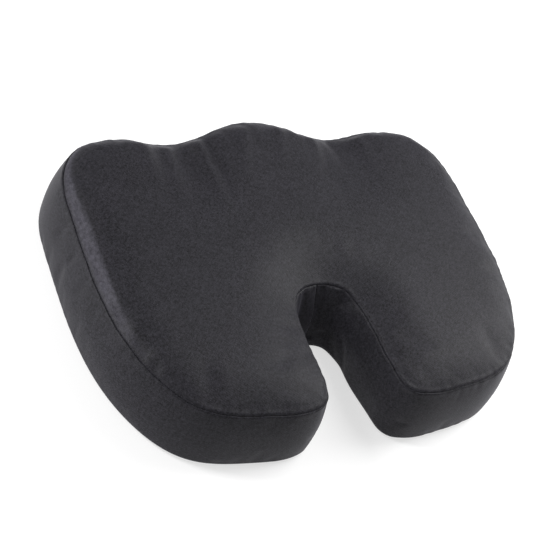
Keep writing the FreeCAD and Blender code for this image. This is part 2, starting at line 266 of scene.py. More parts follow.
NYLON_BLACK = (0.022, 0.022, 0.024)
NYLON_GRAIN = (0.004, 0.0012, 0.0006)  # of its colour, gloss and bumps
NYLON_SHADES = (0.8, 1.25)
NYLON_ROUGHNESS = (0.28, 0.45)
NYLON_BUMP = 0.00005
THREAD_GREY = (0.040, 0.040, 0.044)
THREAD_TWIST = 0.0005
TWIST_SHADES = (0.7, 1.3)
THREAD_BUMP = 0.00008
ENAMEL_BLACK = (0.028, 0.028, 0.030)
ZINC = (0.34, 0.33, 0.31)
ENAMEL_GRAIN = (0.0016, 0.0011, 0.0014)  # of its chips, gloss and bumps
ENAMEL_ROUGHNESS = (0.26, 0.44)
ENAMEL_BUMP = 0.00006
CHIP_EDGE = (0.66, 0.70)  # noise values at a chip's rim
STEEL_GREY = (0.36, 0.36, 0.37)
STEEL_BRUSH = 0.0004
STEEL_SHADES = (0.75, 1.15)
STEEL_ROUGHNESS = (0.32, 0.5)
STEEL_BUMP = 0.00004
FLOOR_GREY = (0.42, 0.42, 0.42)
FLOOR_PATCH = 0.5
FLOOR_SHADES = (0.995, 1.0)
FLOOR_GLOW = 0.60

# ---------------------------------------------------------------- camera, lights and floor
FLOOR_Z = -0.0005
CAMERA_TARGET = (-0.0076, 0.0249, 0.0120)
CAMERA_AZIMUTH = -44.0
CAMERA_ELEVATION = 46.2
CAMERA_DISTANCE = 1.2105
CAMERA_ROLL = 29.8
CAMERA_LENS = 81.7
FLOOR_HALF = 6.0
WORLD_STRENGTH = 0.42
LIGHTS = (  # name, place, size and power
    ("key_left", (-1.29, 0.58, 1.11), 0.4, 19),
    ("side_left", (-1.5, 0.3, 0.3), 0.7, 13),
    ("overhead", (0.6, 0.10, 0.95), 0.6, 9),
    ("edge_right", (0.85, 0.0, 0.45), 0.5, 5),
)


# ---------------------------------------------------------------- outline and heights
def smooth(t):
    """Ease from 0 to 1."""
    t = np.clip(t, 0.0, 1.0)
    return t * t * (3 - 2 * t)


def closed_spline(points):
    """Fine points on the closed cubic spline through points, and the distance along it at each."""
    p = np.array(points)
    n = len(p)
    h = np.linalg.norm(np.roll(p, -1, 0) - p, axis=1)
    a = np.zeros((n, n))
    slope = (np.roll(p, -1, 0) - p) / h[:, None]
    rhs = 6 * (slope - np.roll(slope, 1, 0))
    for i in range(n):
        a[i, i - 1] = h[i - 1]
        a[i, i] = 2 * (h[i - 1] + h[i])
        a[i, (i + 1) % n] = h[i]
    m = np.linalg.solve(a, rhs)
    fine = []
    for i in range(n):
        j = (i + 1) % n
        u = np.linspace(0, 1, SPLINE_STEPS, endpoint=False)[:, None]
        v = 1 - u
        bend = ((v**3 - v) * m[i] + (u**3 - u) * m[j]) * h[i] ** 2 / 6
        fine.append(v * p[i] + u * p[j] + bend)
    fine = np.vstack(fine + [p[:1]])
    return fine, np.r_[0, np.cumsum(np.linalg.norm(np.diff(fine, axis=0), axis=1))]


def outline_columns(points, seams):
    """Evenly spaced points round the outline, with three at each upright seam, and their outward normals."""
    fine, s = closed_spline(points)
    t = np.linspace(0, s[-1], round(s[-1] / SPACING), endpoint=False)
    for seam in seams:
        near = s[np.argmin(np.linalg.norm(fine - seam, axis=1))]
        t = t[np.abs(t - near) > SEAM_SIDE + SPACING / 2]
        t = np.r_[t, near - SEAM_SIDE, near, near + SEAM_SIDE]
    t = np.sort(t)
    normals = plan_normals(fine[:-1])
    tables = (fine, np.vstack([normals, normals[:1]]))
    return [np.stack([np.interp(t, s, table[:, k]) for k in (0, 1)], axis=1) for table in tables]


def plan_normals(p):
    """Outward normals of a clockwise closed outline."""
    t = np.roll(p, -1, 0) - np.roll(p, 1, 0)
    t /= np.linalg.norm(t, axis=1)[:, None]
    return np.stack([-t[:, 1], t[:, 0]], axis=1)


UPRIGHT_SEAMS = ((OPENING_X, FRONT_SEAM_Y), (-OPENING_X, FRONT_SEAM_Y), SEWN_OUTLINE[-1])
WHOLE_OUTLINE = SEWN_OUTLINE + [(-x, y) for x, y in SEWN_OUTLINE[-2:0:-1]]
OUTLINE, NORMALS = outline_columns(WHOLE_OUTLINE, UPRIGHT_SEAMS)
COLUMNS = len(OUTLINE)


def ring_distance(ring, q):
    """Distance of points q inside a closed ring, negative outside it."""
    best = np.full(len(q), np.inf)
    inside = np.zeros(len(q), bool)
    for a, b in zip(ring, np.roll(ring, -1, 0)):
        d = b - a
        t = np.clip(((q - a) @ d) / (d @ d), 0, 1)
        best = np.minimum(best, np.linalg.norm(q - a - t[:, None] * d, axis=1))
        if d[1]:
            cross = (a[1] > q[:, 1]) != (b[1] > q[:, 1])
            inside ^= cross & (q[:, 0] < a[0] + (q[:, 1] - a[1]) / d[1] * d[0])
    return np.where(inside, best, -best)


def plateau(x, y):
    """Height of the seat away from its edge."""
    across = np.exp(-(((np.abs(x) - CHANNEL_X) / CHANNEL_WIDTH) ** 2))
    along = smooth((y - CHANNEL_START_Y) / (CHANNEL_END_Y - CHANNEL_START_Y))
    dip = NOTCH_DIP * np.exp(-((x**2 + (y - NOTCH_DIP_Y) ** 2) / NOTCH_DIP_SIZE**2))
    return SEAT_Z - CHANNEL_DEPTH * across * along - dip


def crown(x, y, d):
    """How far the seat has risen above its seam, d inside it."""
    side = smooth((np.abs(x) - SIDE_START_X) / SIDE_FADE)
    front = smooth((y - FRONT_START_Y) / FRONT_FADE)
    width = REAR_CROWN_WIDTH + (CROWN_WIDTH - REAR_CROWN_WIDTH) * np.maximum(side, front)
    return CROWN * (1 - (1 - np.clip(d / width, 0, 1)) ** CROWN_POWER)


def seat_z(x, y, d):
    """Height of the seat at a point that is d inside its seam."""
    return plateau(x, y) - CROWN + crown(x, y, d)


# ---------------------------------------------------------------- the cover as one closed mesh
def wall_rows():
    """Each wall ring's heights, from the seat's seam down to the base."""
    seam = plateau(*OUTLINE.T) - CROWN
    rows = [seam - drop for drop in SEAM_ROWS]
    for k in range(1, MIDDLE_ROWS + 1):
        f = k / (MIDDLE_ROWS + 1)
        rows.append(rows[len(SEAM_ROWS) - 1] * (1 - f) + SHOULDER_Z * f)
    rows += [np.full(COLUMNS, z) for z in LOW_ROWS]
    return seam, rows


def wall_ring(seam, z):
    """Plan points of the wall at heights z."""
    x, y = OUTLINE.T
    nx, ny = NORMALS.T
    in_notch = (np.abs(x) < NOTCH_MAX_X) & (y < 0)
    rear = smooth((NOTCH_MIDDLE_Y - y) / MOUTH_FADE)
    mouth = np.where(in_notch, (MOUTH_FLARE - FLARE) * nx**2, 0)
    flare = FLARE + rear * ((REAR_FLARE - FLARE) * np.minimum(ny, 0) ** 2 + mouth)
    # leaning out, bulging, and turned in at the bottom
    t = 1 - z / seam
    turn = np.clip(1 - z / BOTTOM_ROUND, 0, 1)
    out = flare * t + BULGE * np.sin(np.pi * t) - BOTTOM_ROUND * turn**2
    # flat at the front, with the corners drawn forward beside it
    low = 1 - smooth((z - SHOULDER_Z) / (seam - SHOULDER_Z))
    front = (y > 0) & (np.abs(x) < FRONT_HALF)
    edge_y = y[front].min()
    lift = np.where(front, FRONT_Y - y - ny * flare, 0)
    corner = (FRONT_Y - edge_y - FLARE) * smooth(1 - (edge_y - y) / CORNER_FADE)
    lift = np.where(front, lift, np.where(y > 0, corner, 0))
    shift = np.where(in_notch, NOTCH_SHIFT * smooth((y - NOTCH_MIDDLE_Y) / SHIFT_FADE), 0)
    px, py = x + nx * out, y + ny * out - shift * t
    flat = front & (z > BOTTOM_ROUND)
    py = np.where(flat, py * (1 - low) + (FRONT_Y + (ny * BULGE * np.sin(np.pi * t)) * (1 - low)) * low,
                  py + lift * low)
    return px, py


def fill_ring(ring):
    """Grid points inside a closed ring, and the triangles that join them to it."""
    lo, hi = ring.min(0), ring.max(0)
    gx, gy = np.meshgrid(np.arange(lo[0], hi[0], GRID), np.arange(lo[1], hi[1], GRID))
    gx = gx.ravel() - (gx.max() + gx.min()) / 2
    q = np.stack([gx, gy.ravel()], axis=1)
    q = q[ring_distance(ring, q) > GRID_CLEAR]
    n = len(ring)
    points = [Vector(p) for p in np.vstack([ring, q])]
    edges = [(i, (i + 1) % n) for i in range(n)]
    out, _, faces, origin, _, _ = delaunay_2d_cdt(points, edges, [], INSIDE_ONLY, MERGE_DISTANCE)
    if len(out) != len(points):
        raise ValueError("the outline crosses itself")
    return q, [tuple(origin[i][0] for i in f) for f in faces]


def cover_mesh():
    """The whole closed cover: vertices, faces, each face's panel, and each vertex's depth inside the seam."""
    seam, rows = wall_rows()
    rings, inside = [], []
    for d in reversed(TOP_RINGS):
        x, y = (OUTLINE - NORMALS * d).T
        rings.append(np.stack([x, y, seat_z(x, y, d)], axis=1))
        inside.append(np.full(COLUMNS, d))
    for z in rows:
        x, y = wall_ring(seam, z)
        rings.append(np.stack([x, y, z], axis=1))
        inside.append(z - seam)
    base = rings[-1][:, :2]
    base_normals = plan_normals(base)
    for d in BASE_RINGS:
        x, y = (base - base_normals * d).T
        rings.append(np.stack([x, y, np.zeros(COLUMNS)], axis=1))
        inside.append(-seam)
    # the columns of the seams beside the zipper stand exactly at its ends
    for side in (1, -1):
        low = rings[LOW_RING + OPENING_ROW]
        column = np.argmin(np.abs(low[:, 0] - side * OPENING_X) + (low[:, 1] < 0))
        step = side * OPENING_X - low[column, 0]
        for ring in rings[LOW_RING : BASE_RING + 1]:
            ring[column - 1 : column + 2, 0] += step
    verts = np.vstack(rings)
    faces, panel = [], []
    for k in range(len(rings) - 1):
        for i in range(COLUMNS):
            j = (i + 1) % COLUMNS
            faces.append((k * COLUMNS + i, k * COLUMNS + j, (k + 1) * COLUMNS + j, (k + 1) * COLUMNS + i))
            panel.append(face_panel(rings, k, i, j))
    top_points, top_faces = fill_ring(rings[0][:, :2])
    x, y = top_points.T
    depth = ring_distance(OUTLINE, top_points)
    inside.append(depth)
    start = len(verts)
    verts = np.vstack([verts, np.stack([x, y, seat_z(x, y, depth)], axis=1)])
    for f in top_faces:
        faces.append(tuple(i if i < COLUMNS else i - COLUMNS + start for i in f))
        panel.append(TOP)
    last = (len(rings) - 1) * COLUMNS
    base_points, base_faces = fill_ring(rings[-1][:, :2])
    start = len(verts)
    verts = np.vstack([verts, np.stack([*base_points.T, np.full(len(base_points), DOT_HEIGHT)], axis=1)])
    for f in base_faces:
        faces.append(tuple(last + i if i < COLUMNS else i - COLUMNS + start for i in reversed(f)))
        panel.append(BASE)
    inside.append(np.full(len(base_points), -SEAT_Z))
    return verts, faces, panel, np.concatenate(inside)


def face_panel(rings, k, i, j):
    """Which panel the quad below ring k, between columns i and j, belongs to."""
    if k < SEAM_RING:
        return TOP
    z = rings[k][i, 2]
    below = rings[k + 1][i, 2]
    if k >= BASE_RING or z <= BASE_SEAM_Z + CLOSE:
        return BASE
    x = (rings[k + 1][i, 0] + rings[k + 1][j, 0]) / 2
    y = (OUTLINE[i, 1] + OUTLINE[j, 1]) / 2
    ends = np.abs(rings[LOW_RING + OPENING_ROW][[i, j], 0])
    if y > 0 and ends.max() <= OPENING_X + CLOSE:
        if below >= OPENING_HIGH - CLOSE:
            return UPPER
        if z <= OPENING_LOW + CLOSE:
            return LOWER
        return OPENING
    return LEFT if x < 0 else RIGHT


def new_object(name, verts, faces):
    """Mesh object from points and faces, with smooth shading."""
    mesh = bpy.data.meshes.new(name)
    mesh.from_pydata([tuple(v) for v in verts], [], faces)
    mesh.update()
    mesh.polygons.foreach_set("use_smooth", np.ones(len(mesh.polygons), bool))
    obj = bpy.data.objects.new(name, mesh)
    bpy.context.scene.collection.objects.link(obj)
    return obj


def coordinates(mesh):
    """Vertex positions as an array."""
    co = np.zeros(len(mesh.vertices) * 3, np.float32)
    mesh.vertices.foreach_get("co", co)
    return co.reshape(-1, 3).astype(float)


def apply_modifiers(obj):
    """Replaces obj's mesh by the one that its modifiers make."""
    graph = bpy.context.evaluated_depsgraph_get()
    mesh = bpy.data.meshes.new_from_object(obj.evaluated_get(graph))
    obj.modifiers.clear()
    old = obj.data
    obj.data = mesh
    bpy.data.meshes.remove(old)


def simulate(obj, pins):
    """Blows the cover up from inside, as the foam does, with the pinned points held where they are sewn."""
    start = coordinates(obj.data)
    group = obj.vertex_groups.new(name="sewn")
    for weight in set(pins.values()):
        group.add([i for i, w in pins.items() if w == weight], weight, "REPLACE")
    cloth = obj.modifiers.new("cloth", "CLOTH")
    settings = cloth.settings
    settings.quality = CLOTH_QUALITY
    settings.mass = CLOTH_MASS
    settings.tension_stiffness = CLOTH_STIFFNESS
    settings.compression_stiffness = CLOTH_STIFFNESS
    settings.shear_stiffness = CLOTH_SHEAR
    settings.bending_stiffness = CLOTH_BENDING
    settings.use_pressure = True
    settings.uniform_pressure_force = CLOTH_PRESSURE
    settings.shrink_min = -CLOTH_SLACK
    settings.shrink_max = -CLOTH_SLACK
    settings.effector_weights.gravity = 0
    settings.vertex_group_mass = "sewn"
    settings.pin_stiffness = 1
    cloth.point_cache.frame_start = 1
    cloth.point_cache.frame_end = CLOTH_FRAMES
    scene = bpy.context.scene
    for number in range(1, CLOTH_FRAMES + 1):
        scene.frame_set(number)
    apply_modifiers(obj)
    scene.frame_set(1)
    move = coordinates(obj.data) - start
    size = np.linalg.norm(move, axis=1)
    keep = CLOTH_CAP * np.tanh(size / CLOTH_CAP) / np.maximum(size, TINY)
    obj.data.vertices.foreach_set("co", (start + move * keep[:, None]).astype(np.float32).ravel())
    obj.data.update()


def store(mesh, name, kind, field, values):
    """Keeps values with the mesh's vertices, so that subdivision carries them along."""
    mesh.attributes.new(name, kind, "POINT").data.foreach_set(field, np.asarray(values, np.float32).ravel())


def stored(mesh, name, field, width):
    """Values kept by store(), one row for each vertex."""
    values = np.zeros(len(mesh.vertices) * width, np.float32)
    mesh.attributes[name].data.foreach_get(field, values)
    return values.reshape(-1, width).astype(float)


def vertex_normals(mesh):
    """Normals of a mesh's vertices as an array."""
    normals = np.zeros(len(mesh.vertices) * 3, np.float32)
    mesh.vertex_normals.foreach_get("vector", normals)
    return normals.reshape(-1, 3).astype(float)


def along_outline(x, y):
    """Distance along the sewn outline of the point on it nearest to each (x, y), and its whole length."""
    fine, s = closed_spline(WHOLE_OUTLINE)
    tree = KDTree(len(fine))
    for i, (fx, fy) in enumerate(fine):
        tree.insert((fx, fy, 0), i)
    tree.balance()
    return np.array([s[tree.find((px, py, 0))[1]] for px, py in zip(x, y)]), s[-1]


def bell(distance, width):
    """1 at distance 0, fading away over width."""
    return np.exp(-((distance / width) ** 2))


def seam_grooves(rest, inside):
    """Grooves along every seam, and the fabric's lips beside the seat's seam."""
    x, y, z = rest.T
    lift = -SEAM_GROOVE * bell(inside, SEAM_WIDTH)
    lift += SEAT_LIP * bell(inside - LIP_PLACE, LIP_WIDTH) + WALL_LIP * bell(inside + LIP_PLACE, LIP_WIDTH)
    wall = (inside < 0) & (z > BASE_SEAM_Z)
    front = wall & (y > FRONT_SEAM_Y - CORNER_FADE)
    lift -= np.where(front, UPRIGHT_GROOVE * bell(np.abs(x) - OPENING_X, SEAM_WIDTH), 0)
    notch_end = wall & (y < 0) & (y > NOTCH_MIDDLE_Y)
    lift -= np.where(notch_end, UPRIGHT_GROOVE * bell(x, SEAM_WIDTH), 0)
    lift -= np.where(inside < 0, BASE_GROOVE * bell(z - BASE_SEAM_Z, SEAM_WIDTH), 0)
    for row in STITCH_ROWS:
        lift -= np.where(front & (np.abs(x) < OPENING_X), STITCH_GROOVE * bell(z - row, SEAM_WIDTH), 0)
    return lift


def gathers(s, length, inside, y, draw):
    """Short puckers across the seat's seam, deepest just beside it."""
    lift = np.zeros(len(s))
    near = np.abs(inside) < GATHER_REACH[1]
    s, d, y = s[near], np.abs(inside[near]), y[near]
    on_seat = inside[near] > 0
    total = np.zeros(len(s))
    for _ in range(GATHERS):
        place = draw.uniform(0, length)
        width = draw.uniform(*GATHER_WIDTH)
        reach = draw.uniform(*GATHER_REACH)
        depth = draw.uniform(*GATHER_DEPTH)
        seat_share, wall_share = draw.uniform(*GATHER_SHARE, 2)
        gap = (s - place + length / 2) % length - length / 2
        fade = np.clip(1 - d / reach, 0, 1) ** 2
        total -= depth * bell(gap, width) * fade * np.where(on_seat, seat_share, wall_share)
    lift[near] = total * np.where(y < TIGHT_Y, TIGHT_GAIN, 1.0)
    return lift


def segment_distance(p, a, b):
    """Distance of points p from the segment a to b, and how far along it they are, from 0 to 1."""
    a, b = np.array(a), np.array(b)
    t = np.clip(((p - a) @ (b - a)) / ((b - a) @ (b - a)), 0, 1)
    return np.linalg.norm(p - a - t[:, None] * (b - a), axis=1), t


def folds(rest, inside):
    """Long soft folds of the seat's panel and of the notch's end."""
    x, y, z = rest.T
    lift = np.zeros(len(rest))
    clear = smooth((inside - FOLD_START) / FOLD_FADE)
    for start, end, width, height in SEAT_FOLDS:
        distance, t = segment_distance(rest[:, :2], start, end)
        lift += height * bell(distance, width) * (1 - t) * clear
    notch_end = (inside < 0) & (y < 0) & (y > NOTCH_MIDDLE_Y) & (np.abs(x) < NOTCH_MAX_X)
    for top_x, base_x, low_z, width, height in NOTCH_FOLDS:
        place = base_x + (top_x - base_x) * z / SEAT_Z
        reach = smooth((z - low_z) / LIP_PLACE) * smooth(-inside / LIP_PLACE)
        lift += np.where(notch_end, height * bell(x - place, width) * reach, 0)
    return lift


def dress(obj):
    """Adds what is finer than the simulation's mesh: seams, gathers and folds."""
    mesh = obj.data
    rest = stored(mesh, "rest", "vector", 3)
    inside = stored(mesh, "inside", "value", 1)[:, 0]
    draw = np.random.default_rng(SEED)
    s, length = along_outline(rest[:, 0], rest[:, 1])
    lift = seam_grooves(rest, inside) + folds(rest, inside)
    lift += gathers(s, length, inside, rest[:, 1], draw)
    co = coordinates(mesh) + vertex_normals(mesh) * lift[:, None]
    for wave, height in SEAM_WAVES:
        turns = round(length / wave)
        phase = draw.uniform(0, 2 * np.pi)
        co[:, 2] += height * np.sin(2 * np.pi * turns * s / length + phase) * bell(inside, WAVE_REACH)
    mesh.vertices.foreach_set("co", co.astype(np.float32).ravel())
    mesh.update()


def build_cover():
    """The whole cover, simulated, with its panels' numbers in the faces' material indices."""
    verts, faces, panel, inside = cover_mesh()
    obj = new_object("cover", verts, faces)
    for i in range(len(PANELS)):
        obj.data.materials.append(None)
    obj.data.polygons.foreach_set("material_index", np.array(panel, np.int32))
    store(obj.data, "rest", "FLOAT_VECTOR", "vector", verts)
    store(obj.data, "inside", "FLOAT", "value", inside)
    bm = bmesh.new()
    bm.from_mesh(obj.data)
    triangles = [f for f in bm.faces if len(f.verts) == 3]
    bmesh.ops.join_triangles(
        bm, faces=triangles, angle_face_threshold=JOIN_ANGLE, angle_shape_threshold=JOIN_ANGLE)
    bm.to_mesh(obj.data)
    bm.free()
    z = verts[:, 2]
    front = (verts[:, 1] > FRONT_Y - PIN_MARGIN) & (np.abs(verts[:, 0]) < FRONT_HALF)
    held = (z < BASE_SEAM_Z + CLOSE) | (front & (z < SHOULDER_Z + CLOSE))
    pins = {i: 1.0 for i in np.nonzero(held)[0].tolist()}
    first = SEAM_RING * COLUMNS
    pins.update({i: SEAM_HOLD for i in range(first, first + COLUMNS)})
    simulate(obj, pins)
    return obj


def foam_from(cover):
    """The moulded foam: the cover's form moved inwards, with a groove behind the zipper."""
    foam = cover.copy()
    foam.data = cover.data.copy()
    foam.name = "foam_core_foam"
    bpy.context.scene.collection.objects.link(foam)
    foam.data.materials.clear()
    foam.modifiers.new("even", "REMESH").voxel_size = FOAM_VOXEL
    inwards = foam.modifiers.new("inwards", "DISPLACE")
    inwards.mid_level = 0
    inwards.strength = -FOAM_INSET
    rounding = foam.modifiers.new("rounding", "SMOOTH")
    rounding.iterations = FOAM_ROUNDS
    apply_modifiers(foam)
    co = coordinates(foam.data)
    x, y, z = co.T
    beside = np.abs(x) < OPENING_X + FOAM_VOXEL
    level = (z > OPENING_LOW - FOAM_VOXEL) & (z < OPENING_HIGH + FOAM_VOXEL)
    co[:, 1] = np.where(beside & level, np.minimum(y, FRONT_Y - FOAM_RELIEF), y)
    foam.data.vertices.foreach_set("co", co.astype(np.float32).ravel())
    foam.data.polygons.foreach_set("use_smooth", np.ones(len(foam.data.polygons), bool))
    foam.data.update()
    return foam


def painted_highlight_band(rest, inside):
    """1 in the band of painted highlight along the rolled edge of the seat's left side, and 0 away from it.
    """
    x, y = rest[:, 0], rest[:, 1]
    rear = smooth((y - BAND_Y) / BAND_TAPER)
    side = smooth((-x - BAND_X) / BAND_FADE) * rear
    wide = rear * smooth((BAND_FRONT_Y - y) / BAND_TAPER)
    width = BAND_WIDTH * (BAND_END + (1 - BAND_END) * wide)
    roll = smooth(inside / BAND_RISE) * smooth((width - inside) / BAND_RISE + 0.5)
    return side * roll


def panel_object(cover, index, name, thickness):
    """One panel of the cover as a closed sheet of that thickness, inside the cover's surface."""
    mesh = cover.data
    co = coordinates(mesh)
    normals = vertex_normals(mesh)
    chosen = [tuple(p.vertices) for p in mesh.polygons if p.material_index == index]
    used = sorted({v for f in chosen for v in f})
    order = {v: i for i, v in enumerate(used)}
    n = len(used)
    outer = [tuple(order[v] for v in f) for f in chosen]
    inner = [tuple(i + n for i in reversed(f)) for f in outer]
    edges = {(f[i - 1], f[i]) for f in outer for i in range(len(f))}
    rim = [(b, a, a + n, b + n) for a, b in edges if (b, a) not in edges]
    verts = np.vstack([co[used], co[used] - normals[used] * thickness])
    sheet = new_object(name, verts, outer + inner + rim)
    # painted highlight: how far each vertex lies in the band that is lightened in the cloth's colour
    band = painted_highlight_band(stored(mesh, "rest", "vector", 3)[used], stored(mesh, "inside", "value", 1)[used, 0])
    store(sheet.data, "painted_highlight_band", "FLOAT", "value", np.tile(band, 2))
    return sheet


# ---------------------------------------------------------------- small repeated shapes
def join(parts):
    """One vertex list and face list from several."""
    verts, faces = [], []
    for part_verts, part_faces in parts:
        start = len(verts)
        verts.extend(part_verts)
        faces.extend(tuple(i + start for i in f) for f in part_faces)
    return verts, faces


def tube(path, radius, sides):
    """Closed round tube along a path of points."""
    p = np.array(path, float)
    step = np.gradient(p, axis=0)
    step /= np.linalg.norm(step, axis=1)[:, None]
    side = np.cross(step[0], TUBE_SIDE)
    verts = []
    for k in range(len(p)):
        side -= step[k] * (side @ step[k])
        side /= np.linalg.norm(side)
        other = np.cross(step[k], side)
        for i in range(sides):
            a = 2 * math.pi * i / sides
            verts.append(tuple(p[k] + radius * (math.cos(a) * side + math.sin(a) * other)))
    faces = [tuple(reversed(range(sides)))]
    for k in range(len(p) - 1):
        for i in range(sides):
            j = (i + 1) % sides
            faces.append((k * sides + i, k * sides + j, (k + 1) * sides + j, (k + 1) * sides + i))
    faces.append(tuple(range((len(p) - 1) * sides, len(p) * sides)))
    return verts, faces


def stitch(start, end, out):
    """One stitch of thread that arches outwards between two points."""
    a, b, out = np.array(start), np.array(end), np.array(out)
    path = []
    for k in range(STITCH_STEPS + 1):
        t = k / STITCH_STEPS
        path.append(a + (b - a) * t + out * (STITCH_RISE * math.sin(math.pi * t) - STITCH_SINK))
    return tube(path, THREAD_RADIUS, THREAD_SIDES)


def stitching():
    """Topstitching above and below the zipper's opening, and a tack across each of its ends."""
    parts = []
    half = OPENING_X - STITCH_END_GAP
    count = round(2 * half / STITCH_PITCH)
    for z in STITCH_ROWS:
        for k in range(count):
            x = -half + k * STITCH_PITCH
            parts.append(stitch((x, FRONT_Y, z), (x + STITCH_PITCH * STITCH_SHARE, FRONT_Y, z), (0, 1, 0)))
    rise = (STITCH_ROWS[1] - STITCH_ROWS[0]) / TACK_STITCHES
    for side in (1, -1):
        x = side * (OPENING_X + STITCH_END_GAP)
        for k in range(TACK_STITCHES):
            z = STITCH_ROWS[0] + k * rise
            parts.append(stitch((x, FRONT_Y, z), (x, FRONT_Y, z + rise * STITCH_SHARE), (0, 1, 0)))
    return join(parts)


def coil(node, side):
    """One side of the zipper's chain, as the coiled filament that it is."""
    low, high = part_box(node)
    mid_y = (low.y + high.y) / 2
    half_y = (high.y - low.y) / 2 - FILAMENT
    half_z = (high.z - low.z) / 2 - FILAMENT
    mid_z = (low.z + high.z) / 2
    turns = math.floor((high.x - low.x) / COIL_PITCH) - 1
    start = low.x + COIL_PITCH * (0.5 if side > 0 else 1.0)  # the two sides lie half a pitch apart
    path = []
    for k in range(turns * COIL_STEPS + 1):
        a = 2 * math.pi * k / COIL_STEPS
        x = start + COIL_PITCH * k / COIL_STEPS
        path.append((x, mid_y + half_y * math.cos(a), mid_z + side * half_z * math.sin(a)))
    return tube(path, FILAMENT, FILAMENT_SIDES)


def grip_dots():
    """Low domed dots in the staggered rows of the CAD discs."""
    _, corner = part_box("grip_dots")
    rows = math.ceil(corner.y / DOT_PITCH)
    columns = math.ceil(corner.x / DOT_PITCH)
    centres = []
    for j in range(-rows, rows + 1):
        for i in range(-columns, columns + 1):
            centres.append(((i + (j % 2) / 2) * DOT_PITCH, j * DOT_PITCH))
    centres = np.array(centres)
    centres = centres[ring_distance(OUTLINE, centres) > DOT_MARGIN]
    parts = []
    for x, y in centres:
        verts = []
        for share, height in DOT_PROFILE:
            for k in range(DOT_SIDES):
                a = 2 * math.pi * k / DOT_SIDES
                radius = DOT_RADIUS * share
                verts.append((x + radius * math.cos(a), y + radius * math.sin(a), DOT_HEIGHT * height))
        faces = [tuple(range(DOT_SIDES))]
        for r in range(len(DOT_PROFILE) - 1):
            low, high = r * DOT_SIDES, (r + 1) * DOT_SIDES
            for k in range(DOT_SIDES):
                m = (k + 1) % DOT_SIDES
                faces.append((low + m, low + k, high + k, high + m))
        last = (len(DOT_PROFILE) - 1) * DOT_SIDES
        faces.append(tuple(last + k for k in reversed(range(DOT_SIDES))))
        parts.append((verts, faces))
    return join(parts)


# ---------------------------------------------------------------- materials
class Shader:
    """A node material being built round one Principled shader, in the cushion's own coordinates."""

    def __init__(self, name, **values):
        self.material = bpy.data.materials.new(name)
        self.material.use_nodes = True
        self.tree = self.material.node_tree
        self.surface = self.tree.nodes["Principled BSDF"]
        self.place = self.tree.nodes.new("ShaderNodeTexCoord").outputs["Object"]
        for key, value in values.items():
            self.put(self.surface, key.replace("_", " "), value)

    def put(self, node, key, value):
        """Links a socket to a node's input, or sets a plain value there."""
        if isinstance(value, bpy.types.NodeSocket):
            self.tree.links.new(value, node.inputs[key])
        else:
            node.inputs[key].default_value = value

    def add(self, kind, inputs, output=0, **settings):
        """A new node's output."""
        node = self.tree.nodes.new("ShaderNode" + kind)
        for key, value in settings.items():
            setattr(node, key, value)
        for key, value in inputs.items():
            self.put(node, key, value)
        return node.outputs[output]

    def math(self, operation, a, b=0.0):
        """Arithmetic on two values."""
        return self.add("Math", {0: a, 1: b}, operation=operation)

    def stretched(self, x, y, z):
        """Coordinates scaled along each axis."""
        return self.add("VectorMath", {0: self.place, 1: (x, y, z)}, operation="MULTIPLY")

    def noise(self, size, detail=2.0, stretch=(1, 1, 1)):
        """Noise whose features are about that size in metres."""
        return self.add("TexNoise", {"Vector": self.stretched(*stretch), "Scale": 1 / size, "Detail": detail})

    def stripes(self, direction, pitch):
        """Sine stripes across a direction, from 0 to 1."""
        turn = [2 * math.pi * c / pitch for c in direction]
        phase = self.add("VectorMath", {0: self.place, 1: turn}, output=1, operation="DOT_PRODUCT")
        return self.range(self.math("SINE", phase), -1, 1, 0, 1)

    def range(self, value, low, high, to_low, to_high):
        """Maps a value from one range to another, held at the ends."""
        return self.add("MapRange", {0: value, 1: low, 2: high, 3: to_low, 4: to_high})

    def vary(self, noise, low, high):
        """Maps the usual span of a noise to a range."""
        return self.range(noise, NOISE_LOW, NOISE_HIGH, low, high)

    def shade(self, colour, factor):
        """Sets the base colour to a colour times a factor."""
        value = self.add("VectorMath", {0: colour, "Scale": factor}, operation="SCALE")
        self.put(self.surface, "Base Color", value)

    def mixed(self, factor, a, b):
        """Colour between a and b."""
        return self.add("Mix", {0: factor, 6: (*a, 1), 7: (*b, 1)}, output=2, data_type="RGBA")

    def bump(self, height, depth, strength=1.0):
        """Bumps of that depth in metres from a height between 0 and 1."""
        normal = self.add("Bump", {"Height": height, "Distance": depth, "Strength": strength})
        self.put(self.surface, "Normal", normal)


def velour():
    """Charcoal brushed velour: short fibres, heathered, with patches of turned nap and one band of painted
    highlight.
    """
    m = Shader("cover_velour", Roughness=0.52, Sheen_Weight=VELOUR_SHEEN, Sheen_Roughness=0.45,
               Sheen_Tint=VELOUR_TINT, Specular_IOR_Level=0.12)
    fibre = m.noise(FIBRE, detail=3.0, stretch=(1, 0.6, 1))
    heather = m.noise(HEATHER, detail=4.0)
    nap = m.noise(NAP, detail=2.0)
    twill = m.math("MULTIPLY", *(m.stripes(way, pitch) for way, pitch in zip(TWILL_WAYS, TWILL)))
    shade = m.math("ADD", m.vary(fibre, *FIBRE_SHADES), m.vary(heather, *HEATHER_SHADES))
    shade = m.math("ADD", shade, m.range(nap, *NAP_SPAN, *NAP_SHADES))
    shade = m.math("ADD", shade, m.range(twill, 0, 1, *TWILL_SHADES))
    # painted highlight: lighter wisps in the base colour along the band, standing in for light reflected off
    # the rolled edge
    wisps = m.vary(m.noise(WISP, detail=5.0, stretch=(1, 0.6, 1)), *HIGHLIGHT_LIFT)
    band = m.add("Attribute", {}, output="Fac", attribute_name="painted_highlight_band")
    shade = m.math("ADD", shade, m.math("MULTIPLY", band, wisps))
    m.shade(VELOUR, shade)
    height = m.math("ADD", fibre, m.math("MULTIPLY", twill, TWILL_HEIGHT))
    m.bump(height, VELOUR_BUMP, strength=0.7)
    return m.material


